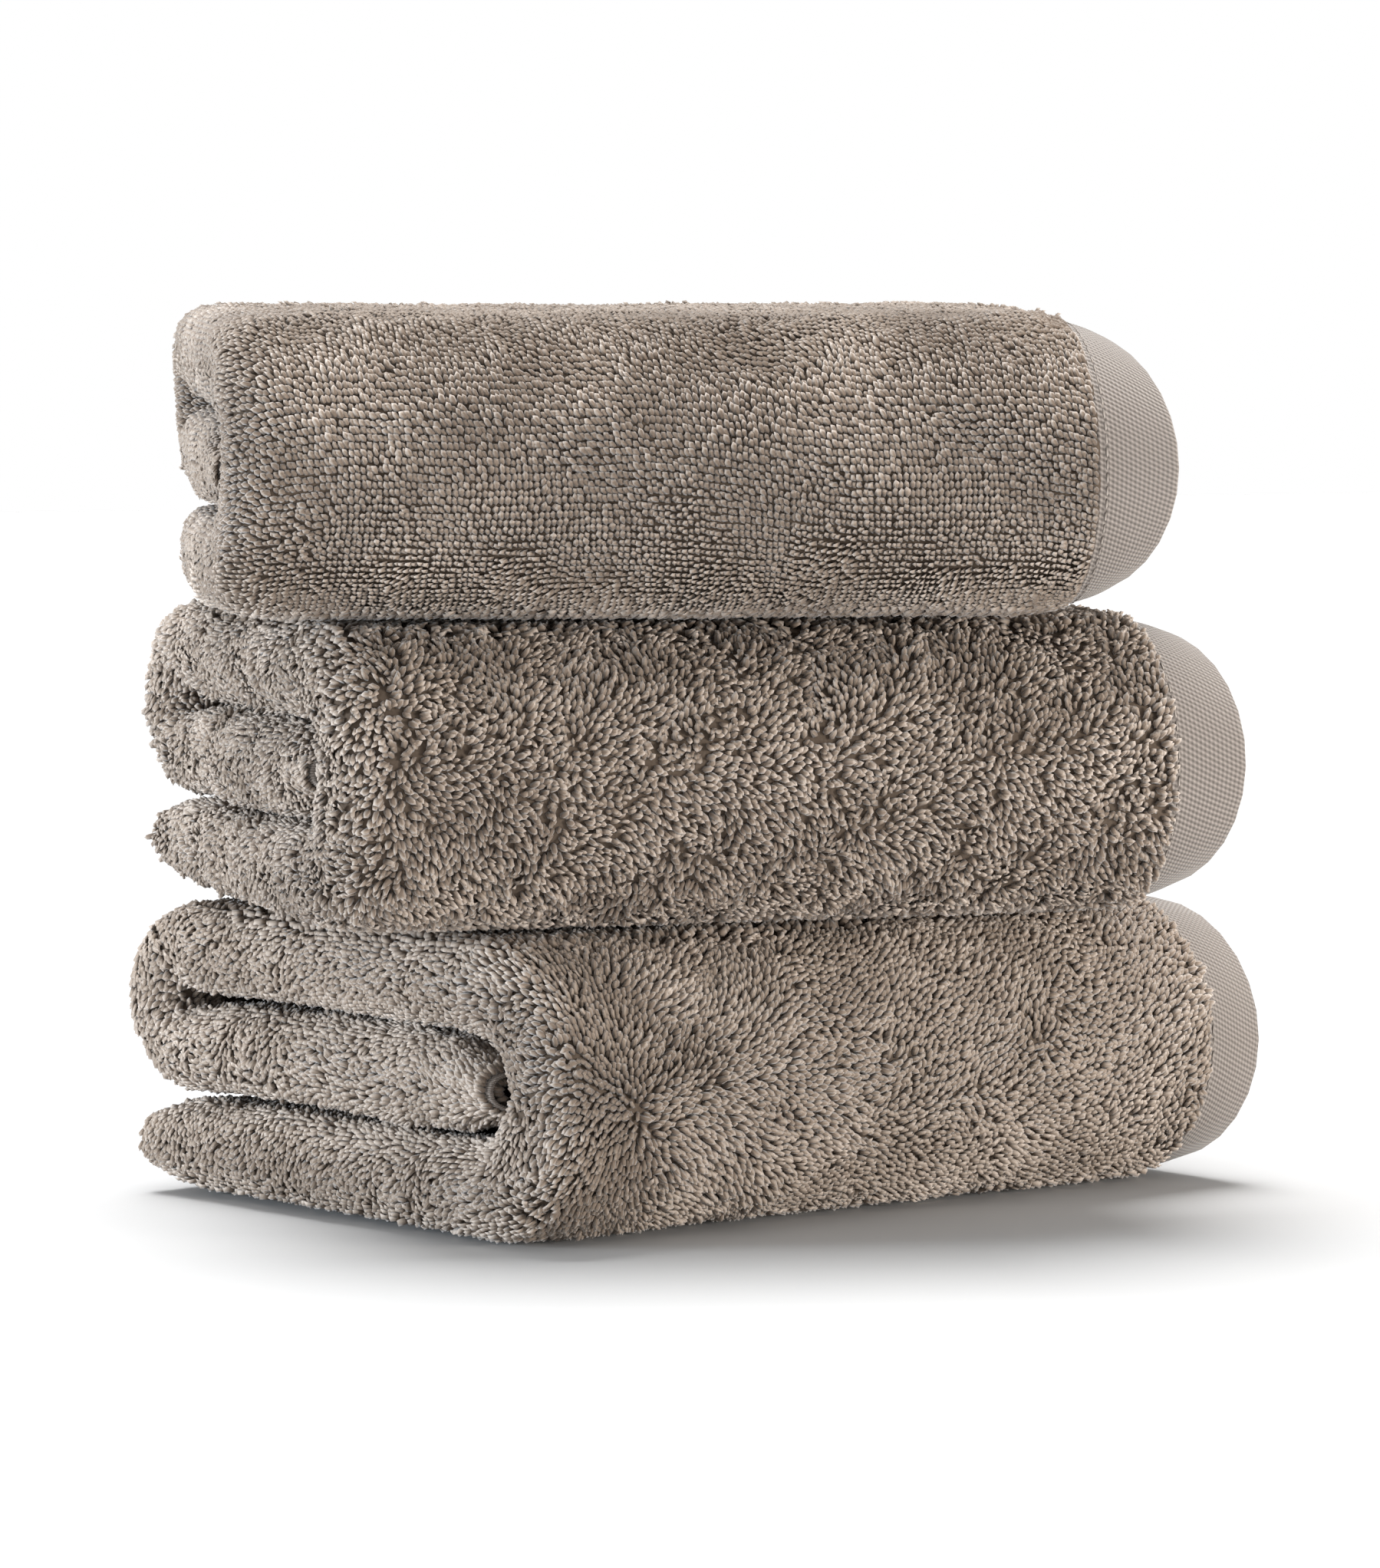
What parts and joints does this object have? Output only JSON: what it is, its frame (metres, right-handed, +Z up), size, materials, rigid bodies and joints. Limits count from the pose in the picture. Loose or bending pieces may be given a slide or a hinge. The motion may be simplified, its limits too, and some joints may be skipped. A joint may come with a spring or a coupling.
{
  "type": "bath towel set",
  "caption": "Stack of thick terry bath towels, each folded to a plump block with a round front fold and flat-woven hem bands at one end.",
  "frame": {"origin": "middle of the stack's footprint, on the surface that it stands on", "axes": "+Z up through the stack; +X towards the hemmed ends, along the middle towel's folded length; -Y towards its big front fold"},
  "size_m": [0.4378, 0.4066, 0.3402],
  "materials": {
    "terry": "deep looped pile, taupe, matt",
    "flat_weave": "ribbed flat weave, taupe, soft satin",
    "thread": "twisted polyester sewing thread, soft sheen"
  },
  "bodies": {
    "bottom_towel": {"bottom_towel_terry_cloth": "terry", "bottom_towel_outer_end_hem": "flat_weave", "bottom_towel_outer_end_stitching": "thread", "bottom_towel_inner_end_hem": "flat_weave", "bottom_towel_inner_end_stitching": "thread", "bottom_towel_tucked_side_hem": "flat_weave", "bottom_towel_tucked_side_stitching": "thread", "bottom_towel_lower_side_hem": "flat_weave", "bottom_towel_lower_side_stitching": "thread"},
    "middle_towel": {"middle_towel_terry_cloth": "terry", "middle_towel_outer_end_hem": "flat_weave", "middle_towel_outer_end_stitching": "thread", "middle_towel_inner_end_hem": "flat_weave", "middle_towel_inner_end_stitching": "thread", "middle_towel_tucked_side_hem": "flat_weave", "middle_towel_tucked_side_stitching": "thread", "middle_towel_lower_side_hem": "flat_weave", "middle_towel_lower_side_stitching": "thread"},
    "top_towel": {"top_towel_terry_cloth": "terry", "top_towel_outer_end_hem": "flat_weave", "top_towel_outer_end_stitching": "thread", "top_towel_inner_end_hem": "flat_weave", "top_towel_inner_end_stitching": "thread", "top_towel_tucked_side_hem": "flat_weave", "top_towel_tucked_side_stitching": "thread", "top_towel_lower_side_hem": "flat_weave", "top_towel_lower_side_stitching": "thread"}
  },
  "joints": [
    {"name": "middle_towel_lift", "type": "slide", "parent": "bottom_towel", "child": "middle_towel", "axis": [0, 0, 1], "range_m": [0, 0.15]},
    {"name": "top_towel_lift", "type": "slide", "parent": "middle_towel", "child": "top_towel", "axis": [0, 0, 1], "range_m": [0, 0.15]}
  ]
}
